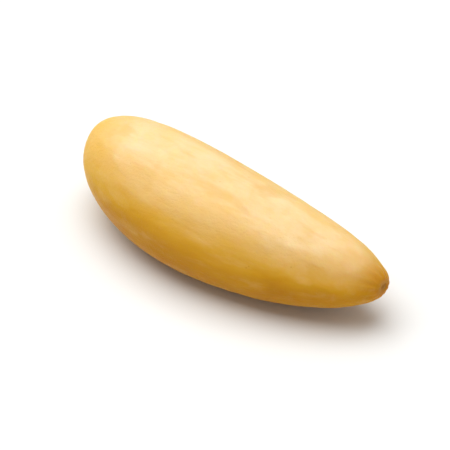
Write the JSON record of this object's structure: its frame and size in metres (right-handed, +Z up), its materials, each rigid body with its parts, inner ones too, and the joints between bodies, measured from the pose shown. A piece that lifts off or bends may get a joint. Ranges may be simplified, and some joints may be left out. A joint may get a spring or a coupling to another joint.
{
  "type": "shelled pine nut kernel",
  "caption": "Shelled pine nut kernel lying on its side: a long bowed teardrop with soft ridges, a blunt round end, and a pointed end with a shallow crater.",
  "frame": {"origin": "on the resting surface, under the middle of the kernel's bounding box", "axes": "+X along the kernel from its round end to its pointed end, +Z up from the flat resting spot, with the outer side of its bow towards -Y"},
  "size_m": [0.0148, 0.0054, 0.0048],
  "materials": {
    "kernel_skin": "satin"
  },
  "bodies": {
    "root": {"kernel": "kernel_skin"}
  },
  "joints": []
}
